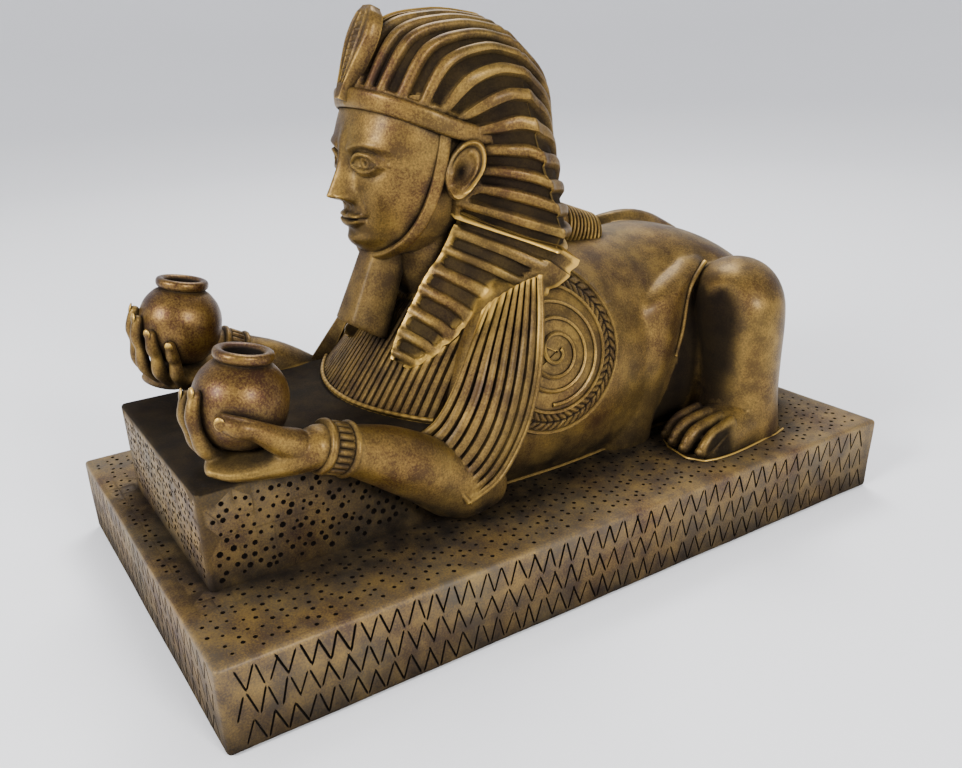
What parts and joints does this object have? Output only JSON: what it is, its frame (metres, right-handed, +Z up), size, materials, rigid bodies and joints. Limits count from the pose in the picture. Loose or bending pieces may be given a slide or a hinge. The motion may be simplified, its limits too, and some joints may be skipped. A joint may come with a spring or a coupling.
{
  "type": "sphinx statue",
  "caption": "Cast sphinx figurine with a striped headcloth, kneeling lion body and an offering jar in each hand, on a stepped rectangular plinth",
  "frame": {"origin": "centre of the overall box in plan, at the underside of the plinth", "axes": "+Y runs from the figure's face to its rump along the plinth, +Z is up, +X is the figure's left side"},
  "size_m": [0.142, 0.25, 0.1684],
  "materials": {
    "cast_resin": "cast resin with a rubbed antique gold and bronze patina"
  },
  "bodies": {
    "root": {"sphinx_statue": "cast_resin"}
  },
  "joints": []
}
